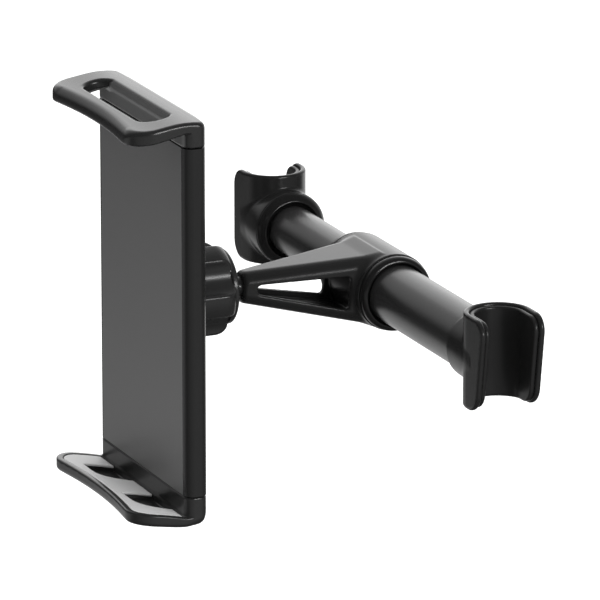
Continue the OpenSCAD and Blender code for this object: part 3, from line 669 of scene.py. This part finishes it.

# Only the top jaw's wall is painted pale; the bottom jaw keeps its black wall as painted shade under the
# lip.
pale_wall(TOP_JAW_BLACK, (np.array(TOP_FRAME) @ (0, PANEL_Y, 0, 1))[1] * MM, PANEL_SHADE)
moulded(
    "top_lip", TOP_JAW, JAW_LOW, JAW_HIGH,
    JAW_GRID, TOP_FRAME, TOP_JAW_BLACK, "top_grip", ["top_jaw"],
)
moulded(
    "bottom_lip", BOTTOM_JAW, JAW_LOW, JAW_HIGH,
    JAW_GRID, BOTTOM_FRAME, JAW_BLACK, "bottom_grip", ["bottom_jaw"],
)
moulded(
    "lower_grip_pad", pad_field(BOTTOM_FACE, False), JAW_LOW, PAD_HIGH,
    LOWER_PAD_GRID, BOTTOM_FRAME, LIGHT_PAD, "bottom_grip", ["bottom_pad"],
)
moulded(
    "upper_grip_pad", pad_field(TOP_FACE, True), JAW_LOW, PAD_HIGH,
    UPPER_PAD_GRID, TOP_FRAME, DARK_PAD, "top_grip", ["top_pad"],
)

# Arm
# It is a hollow wedge from its tip to the sleeve, with a window through both sides.
ARM_TIP_Y = -(ARM_LEN - ARM_END)
ARM_ROOT_Y = -4.0
ARM_EDGE_R = 3.8
ARM_TIP_R = 1.2
ARM_TIP_WALL = 4.5
ARM_HOLLOW_R = 1.2
ARM_HOLLOW_END_R = 1.0
ARM_WINDOW_Y = (ARM_TIP_Y + 4, -(SLEEVE_R + 1))
ARM_WINDOW_LOW = 1.4
ARM_WINDOW_WIDE_R = 1.5
ARM_WINDOW_NARROW_R = 1.3
ARM_WINDOW_RIM_R = 0.55
SLEEVE_RIM_R = 0.35
SLEEVE_FILLET = 1.6
SLEEVE_BORE_RIM_R = 0.2
NECK_LAP = 1
NECK_FILLET = 0.5
ARM_GRID = 0.42


def wedge_field(x, y, z):
    """The arm between tip and sleeve, with its hollow and its window."""
    length = ARM_ROOT_Y - ARM_TIP_Y
    t = (y - ARM_TIP_Y) / length
    slope_w = (ARM_W1 - ARM_W0) / length
    slope_h = (ARM_H1 - ARM_H0) / length
    wide = (np.abs(x) - ARM_W0 - (ARM_W1 - ARM_W0) * t) / math.hypot(1, slope_w)
    tall = (np.abs(z) - ARM_H0 - (ARM_H1 - ARM_H0) * t) / math.hypot(1, slope_h)
    wedge = both(both(wide, tall, ARM_EDGE_R), ARM_TIP_Y - y, ARM_TIP_R)
    wedge = both(wedge, y - ARM_ROOT_Y)
    hollow = both(wide + ARM_WALL, tall + ARM_WALL, ARM_HOLLOW_R)
    hollow = both(hollow, ARM_TIP_Y + ARM_TIP_WALL - y, ARM_HOLLOW_END_R)
    wedge = cut(wedge, hollow)
    start, end = ARM_WINDOW_Y
    middle = (WINDOW_UP - WINDOW_DOWN) / 2 * (y - start) / (end - start)
    gain = (WINDOW_UP + WINDOW_DOWN) / 2 - ARM_WINDOW_LOW
    reach = ARM_WINDOW_LOW + gain * (y - start) / (end - start)
    slot = both(np.abs(z - middle) - reach, y - end, ARM_WINDOW_WIDE_R)
    slot = both(slot, start - y, ARM_WINDOW_NARROW_R)
    return cut(wedge, slot, ARM_WINDOW_RIM_R)


def arm_field(x, y, z):
    """The wedge with the sleeve's barrel at one end, and the neck and ball at the other."""
    radius = np.hypot(y, z)
    barrel = both(radius - SLEEVE_R, np.abs(x) - SLEEVE_END, SLEEVE_RIM_R)
    solid = joined(wedge_field(x, y, z), barrel, SLEEVE_FILLET)
    neck = both(np.hypot(x, z) - NECK_R, both(y - ARM_TIP_Y - NECK_LAP, -ARM_LEN - y))
    ball = np.sqrt(x * x + (y + ARM_LEN) ** 2 + z * z) - BALL_R
    solid = joined(solid, joined(neck, ball, NECK_FILLET), NECK_FILLET)
    return cut(solid, radius - TUBE_R, SLEEVE_BORE_RIM_R)


moulded(
    "arm_moulding", arm_field,
    (-SLEEVE_END, -ARM_LEN - BALL_R, -SLEEVE_R), (SLEEVE_END, SLEEVE_R, SLEEVE_R),
    ARM_GRID, ARM_FRAME, BLACK, "bar", ["arm"],
)

# Hooks
# The tips are trimmed a little, so that the smooth shape stays inside the CAD's box.
TIP_TRIM = 0.1
WING_RIM_R = 0.75
LINER_RIM_R = 0.6
BOSS_FACE_R = 0.2
BOSS_BEVEL = 0.2
BOSS_SINK = 0.1
BOSS_END_RISE = 0.4
BOSS_START_RUN = 3
BOSS_END_RUN = 4
SWELL_LEAD = 0.6
SWELL_STEPS = 10
RUN_OUT_STEPS = 24
HOOK_MARGIN = 0.5
HOOK_GRID = 0.36
LINER_GRID = 0.33


def hook_side(x, z, tip, lean, lift, half_h, r):
    """Side of a hook: rounded wing corners, and tips that lean back towards the bottom."""
    run = lean / (2 * (half_h - r))
    tips = (x - tip + TIP_TRIM + lean / 2 - run * (z - lift)) / math.hypot(1, run)
    return both(tips, np.abs(z - lift) - half_h, r)


def boss_line(boss_r, face_x, swell_x, end_x):
    """Radius of a boss along the bar, as (x, radius) points."""
    face_r = boss_r - BOSS_BEVEL
    end = (end_x, HOOK_R - BOSS_SINK)
    swell = [
        (face_x, face_r), (face_x, (face_r + boss_r) / 2),
        (SWELL_LEAD * swell_x, boss_r), (swell_x, boss_r),
    ]
    run_out = [
        (swell_x, boss_r), (swell_x + BOSS_START_RUN, boss_r),
        (end_x - BOSS_END_RUN, HOOK_R + BOSS_END_RISE), end,
    ]
    return curve(swell, SWELL_STEPS) + curve(run_out, RUN_OUT_STEPS) + [end]


def channel_gap(x, y, offset):
    """Distance to the middle of a hook's channel, which is open past the offset."""
    return np.where(x < offset, np.hypot(x - offset, y), np.abs(y))


def hook_field(offset, wing, lean, lift, bore_r, boss, fillet):
    """A hook and its boss in one moulding, bored for the bar."""
    face_x = boss[0][0]
    end_x = boss[-1][0]

    def field(x, y, z):
        channel = channel_gap(x, y, offset)
        shell = np.abs(channel - HOOK_R + HOOK_WALL / 2) - HOOK_WALL / 2
        side = hook_side(x, z, offset + wing, lean, lift, HOOK_H / 2, WING_CORNER_R)
        shell = both(shell, side, WING_RIM_R)
        radius = np.hypot(y, z)
        boss_r, k = along(x, boss)
        turned_boss = both(both((radius - boss_r) / k, x - end_x), face_x - x, BOSS_FACE_R)
        solid = both(joined(shell, turned_boss, fillet), side)
        solid = cut(solid, channel - HOOK_R + HOOK_WALL)
        return cut(solid, both(radius - bore_r, x - TUBE_IN_HOOK))

    return field


def liner_field(offset, wing, lean, lift):
    """The rubber liner in a hook's channel, a little smaller than the hook all round."""
    tip = offset + wing - LINER_STEP
    half_h = HOOK_H / 2 - LINER_STEP
    corner_r = WING_CORNER_R - LINER_STEP

    def field(x, y, z):
        channel = channel_gap(x, y, offset)
        shell = np.abs(channel - HOOK_R + HOOK_WALL + LINER_T / 2) - LINER_T / 2
        return both(shell, hook_side(x, z, tip, lean, lift, half_h, corner_r), LINER_RIM_R)

    return field


RIGHT_BOSS = boss_line(RIGHT_BOSS_R, 0, 1, RIGHT_OFFSET + 2)
LEFT_BOSS = boss_line(LEFT_BOSS_R, COLLAR_LEN, COLLAR_LEN + 2, LEFT_OFFSET + 1)
RIGHT_FILLET, LEFT_FILLET = 0.4, 1.0
HOOKS = {
    "right": (
        RIGHT_FRAME, RIGHT_OFFSET, RIGHT_WING, RIGHT_LEAN, -RIGHT_DROP,
        TUBE_R, RIGHT_BOSS, RIGHT_FILLET, "bar",
    ),
    "left": (
        LEFT_FRAME, LEFT_OFFSET, LEFT_WING, 0.0, -LEFT_LIFT,
        ROD_R, LEFT_BOSS, LEFT_FILLET, "left_rod",
    ),
}
for side, (place, offset, wing, lean, lift, bore, boss, fillet, body) in HOOKS.items():
    low = (0, -LEFT_BOSS_R - HOOK_MARGIN, -HOOK_H / 2 - LEFT_LIFT)
    high = (offset + wing, LEFT_BOSS_R + HOOK_MARGIN, HOOK_H / 2)
    moulded(
        f"{side}_hook_shell", hook_field(offset, wing, lean, lift, bore, boss, fillet), low, high,
        HOOK_GRID, place, BLACK, body, [f"{side}_hook"],
    )
    moulded(
        f"{side}_hook_liner", liner_field(offset, wing, lean, lift), low, high,
        LINER_GRID, place, LINER, body, [f"{side}_liner"],
    )

# Collar of the left hook, as (x, radius) points from its bore over the bell to the boss
COLLAR_LIP_R = ROD_R + 1.2
COLLAR_WALL = 0.9
COLLAR_END = (COLLAR_LEN, LEFT_BOSS_R - BOSS_BEVEL)
COLLAR_BELL = [
    (0.3, COLLAR_R), (0.3 * COLLAR_LEN, COLLAR_R + 0.7),
    (0.7 * COLLAR_LEN, LEFT_BOSS_R - 0.5), COLLAR_END,
]
COLLAR = [
    (0.25, COLLAR_LIP_R), (0.05, COLLAR_LIP_R + 0.15), (0, COLLAR_LIP_R + 0.35),
    (0, COLLAR_R - 0.5), (0.08, COLLAR_R - 0.2),
    *curve(COLLAR_BELL, SWELL_STEPS),
    COLLAR_END, (COLLAR_LEN, ROD_R),
    (COLLAR_LEN - COLLAR_WALL, ROD_R), (COLLAR_LEN - COLLAR_WALL, COLLAR_LIP_R),
]
turned("left_hook_collar", COLLAR, LEFT_FRAME, RING, "left_rod", ["left_collar"])

# End rings of the sleeve, as (x, radius) points from the sleeve's face over the bevel to the bore
RING_LIP_R = TUBE_R + 0.6
RING_SEAT = RING_LEN - 1.5
SLEEVE_RING = [
    (0, TUBE_R), (0, SLEEVE_R - 0.45), (0.2, SLEEVE_R - 0.25),
    (RING_LEN - 1.6, SLEEVE_R - 0.35), (RING_LEN - 1.0, SLEEVE_R - 0.5),
    (RING_LEN - 0.4, SLEEVE_R - 0.85), (RING_LEN - 0.1, SLEEVE_R - 1.3),
    (RING_LEN, SLEEVE_R - 1.7), (RING_LEN, TUBE_R + 0.8),
    (RING_LEN - 0.2, RING_LIP_R), (RING_SEAT, RING_LIP_R), (RING_SEAT, TUBE_R),
]
turned(
    "right_end_ring", SLEEVE_RING, ARM_FRAME @ SLEEVE_FACE,
    RING, "bar", ["sleeve_ring_right"],
)
turned(
    "left_end_ring", SLEEVE_RING, ARM_FRAME @ HALF_TURN @ SLEEVE_FACE,
    RING, "bar", ["sleeve_ring_left"],
)

# Lock nut
# Its lobes fall away from the shoulder to the round rim at its end.
NUT_SHOULDER = 0.62
LOBE_STEP = 0.2
LOBE_FALL = 0.985
LOBE_BACK_R = 0.8
SCALLOP_RIM_R = 0.6
NUT_CORE_R = 10.4
NUT_RIM_EDGE_R = 0.5
NUT_RIM_LAP = 0.3
NUT_RIM_FILLET = 0.2
NUT_BORE_END = 3.5
MOUTH_FLARE = 1.4
MOUTH_DEPTH = 1.0
MOUTH_RIM_R = 0.3
NUT_GRID = 0.35


def nut_field(x, y, z):
    """The nut with its scalloped lobes, its rim, and the bore that narrows to the mouth."""
    radius = np.hypot(x, z)
    shoulder = NUT_Y0 + NUT_SHOULDER * (NUT_Y1 - NUT_Y0)
    lobe_end = NUT_Y1 - NUT_RIM_W
    t = np.clip((y - shoulder) / (lobe_end - shoulder), 0, 1)
    fall = np.sqrt(1 - LOBE_FALL * t * t)
    lobes = radius - NUT_RIM_R - LOBE_STEP - (NUT_R - NUT_RIM_R - LOBE_STEP) * fall
    lobes = both(both(lobes, NUT_Y0 - y, LOBE_BACK_R), y - lobe_end)
    centre = NUT_R + SCALLOP_R - SCALLOP_DEPTH
    for i in range(SCALLOPS):
        turn = math.radians(SCALLOP_TURN + i * 360 / SCALLOPS)
        bite = np.hypot(x - centre * math.cos(turn), z - centre * math.sin(turn)) - SCALLOP_R
        lobes = cut(lobes, bite, SCALLOP_RIM_R)
    rim = both(both(radius - NUT_RIM_R, y - NUT_Y1, NUT_RIM_EDGE_R), NUT_Y0 - y)
    rim = both(rim, lobe_end - NUT_RIM_LAP - y)
    core = both(both(radius - NUT_CORE_R, NUT_Y0 - y), y - lobe_end)
    solid = joined(np.minimum(lobes, core), rim, NUT_RIM_FILLET)
    bore = both(radius - NUT_BORE_R, y - NUT_BORE_END)
    mouth = radius - NUT_MOUTH_R - MOUTH_FLARE * np.clip((lobe_end - y) / MOUTH_DEPTH, 0, 1)
    return cut(cut(solid, bore), mouth, MOUTH_RIM_R)


moulded(
    "nut_moulding", nut_field, (-NUT_R, NUT_Y0, -NUT_R), (NUT_R, NUT_Y1, NUT_R),
    NUT_GRID, CRADLE_FRAME, NUT, "nut", ["lock_nut"],
)

# Floor
# It is white to the camera. In mirrors it glows with a painted reflection: dark round the holder and far
# behind it, half pale in between, white far behind on the +Y side, and a little pale far off on the +X
# side.
FLOOR_Z = -0.35
FLOOR_HALF = 20
FLOOR_ROUGH = 0.9
FLOOR_GLOW = 0.4
FLOOR_PALE = 0.55
FLOOR_RIGHT = 0.6
FLOOR_NEAR_X = (-0.15, -0.5)
FLOOR_RIGHT_X = (0.3, 0.9)
FLOOR_FAR_X = (-0.7, -1.35)
FLOOR_SIDE_Y = (0.5, 0.9)
FLOOR_DARK = (0.04, 0.04, 0.04, 1)
FLOOR_WHITE = (0.8, 0.8, 0.8, 1)


def ray_kind(tree, kind):
    """One where a ray is of a kind, and zero elsewhere."""
    return tree.nodes.new("ShaderNodeLightPath").outputs[kind]


def mirrored_or_through(tree):
    """One where a ray comes from a glossy surface or clear glass."""
    return combined(tree, "MAXIMUM", ray_kind(tree, "Is Glossy Ray"), ray_kind(tree, "Is Transmission Ray"))


def white_share(tree, x, y):
    """How white the floor is to a glossy ray, and one for any other ray."""
    near = ranged(tree, x, 0.0, 1.0, *FLOOR_NEAR_X)
    far = ranged(tree, x, FLOOR_PALE, 0.0, *FLOOR_FAR_X)
    side = ranged(tree, y, 0.0, 1.0, *FLOOR_SIDE_Y)
    right = ranged(tree, x, 0.0, FLOOR_RIGHT * FLOOR_PALE, *FLOOR_RIGHT_X)
    behind = combined(tree, "MULTIPLY", near, combined(tree, "MAXIMUM", far, side))
    pale = combined(tree, "MAXIMUM", behind, right)
    other = ranged(tree, ray_kind(tree, "Is Glossy Ray"), 1.0, 0.0)
    return combined(tree, "MAXIMUM", pale, other)


def floor_paint():
    """The floor's material, which glows for the rays that see it."""
    mat = bpy.data.materials.new("floor_white")
    mat.use_nodes = True
    tree = mat.node_tree
    shader = tree.nodes["Principled BSDF"]
    shader.inputs["Roughness"].default_value = FLOOR_ROUGH
    shader.inputs["Emission Color"].default_value = WHITE
    place = axes_of(tree, tree.nodes.new("ShaderNodeTexCoord").outputs["Object"])
    share = white_share(tree, place["X"], place["Y"])
    paint = blend_of(tree, share, FLOOR_DARK, FLOOR_WHITE)
    tree.links.new(paint.outputs["Color"], shader.inputs["Base Color"])
    seen = combined(tree, "MAXIMUM", ray_kind(tree, "Is Camera Ray"), mirrored_or_through(tree))
    glow = combined(tree, "MULTIPLY", share, ranged(tree, seen, 0.0, FLOOR_GLOW))
    tree.links.new(glow, shader.inputs["Emission Strength"])
    return mat


floor_mesh = bpy.data.meshes.new("floor")
floor_mesh.from_pydata(
    [(x * FLOOR_HALF, y * FLOOR_HALF, FLOOR_Z) for x, y in ((-1, -1), (1, -1), (1, 1), (-1, 1))],
    [], [(0, 1, 2, 3)],
)
floor_mesh.materials.append(floor_paint())
floor = bpy.data.objects.new("floor", floor_mesh)
bpy.context.scene.collection.objects.link(floor)

# World
# It is white to the camera and as a light. In mirrors it is white behind the holder, and
# dark overhead, in front and low on the left.
WORLD_LIGHT = 1.0
WORLD_DARK = 0.06
WHITE_SIDE = (-0.91, 0.4, 0.0)
WHITE_RANGE = (0.15, 0.85)
HORIZON_Z = (0.05, 0.3)
HORIZON_Y = (-0.1, 0.25)
world = bpy.data.worlds.new("studio")
bpy.context.scene.world = world
world.use_nodes = True
sky = world.node_tree
background = sky.nodes["Background"]
background.inputs["Color"].default_value = WHITE
where = sky.nodes.new("ShaderNodeTexCoord").outputs["Generated"]
facing = sky.nodes.new("ShaderNodeVectorMath")
facing.operation = "DOT_PRODUCT"
facing.inputs[1].default_value = WHITE_SIDE
sky.links.new(where, facing.inputs[0])
way = axes_of(sky, where)
above = ranged(sky, way["Z"], 0.0, 1.0, *HORIZON_Z)
beside = ranged(sky, way["Y"], 0.0, 1.0, *HORIZON_Y)
behind = ranged(sky, facing.outputs["Value"], WORLD_DARK, 1.0, *WHITE_RANGE)
mirrored = combined(sky, "MULTIPLY", behind, combined(sky, "MAXIMUM", above, beside))
power = sky.nodes.new("ShaderNodeMix")
power.inputs["A"].default_value = WORLD_LIGHT
sky.links.new(mirrored_or_through(sky), power.inputs["Factor"])
sky.links.new(mirrored, power.inputs["B"])
sky.links.new(power.outputs["Result"], background.inputs["Strength"])


# Lamps
def lamp(name, place, size, watts, in_mirrors=True):
    """A rectangular lamp that points at the holder."""
    light = bpy.data.lights.new(name, "AREA")
    light.shape = "RECTANGLE"
    light.size, light.size_y = size
    light.energy = watts
    obj = bpy.data.objects.new(name, light)
    obj.location = place
    obj.rotation_euler = (Vector((0, 0, 0)) - Vector(place)).to_track_quat("-Z", "Y").to_euler()
    obj.visible_glossy = in_mirrors
    bpy.context.scene.collection.objects.link(obj)


lamp("overhead", (0.0, 0.0, 1.3), (0.8, 0.8), 6, in_mirrors=False)
lamp("behind", (-1.5, 0.75, 0.5), (1.6, 1.1), 5)
lamp("right", (1.2, 0.32, 0.36), (0.6, 0.2), 9)

# Camera
# Its direction, its lens and where it looks, fitted to the photograph
CAM_AZ = math.radians(66.2)
CAM_EL = math.radians(16.3)
CAM_FAR = 2.0
CAM_TARGET = Vector((-0.00763, -0.02123, -0.00542))
CAM_CLIP = 100
PIXELS = 600
FOCAL_PIXELS = 6700
SENSOR = 36.0
camera_data = bpy.data.cameras.new("camera")
camera_data.sensor_width = SENSOR
camera_data.lens = FOCAL_PIXELS * SENSOR / PIXELS
camera_data.clip_end = CAM_CLIP
camera = bpy.data.objects.new("camera", camera_data)
back = Vector((math.sin(CAM_AZ) * math.cos(CAM_EL), -math.cos(CAM_AZ) * math.cos(CAM_EL), math.sin(CAM_EL)))
camera.location = CAM_TARGET + back * CAM_FAR
camera.rotation_euler = back.to_track_quat("Z", "Y").to_euler()
bpy.context.scene.collection.objects.link(camera)
bpy.context.scene.camera = camera
bpy.context.scene.view_settings.view_transform = "Standard"
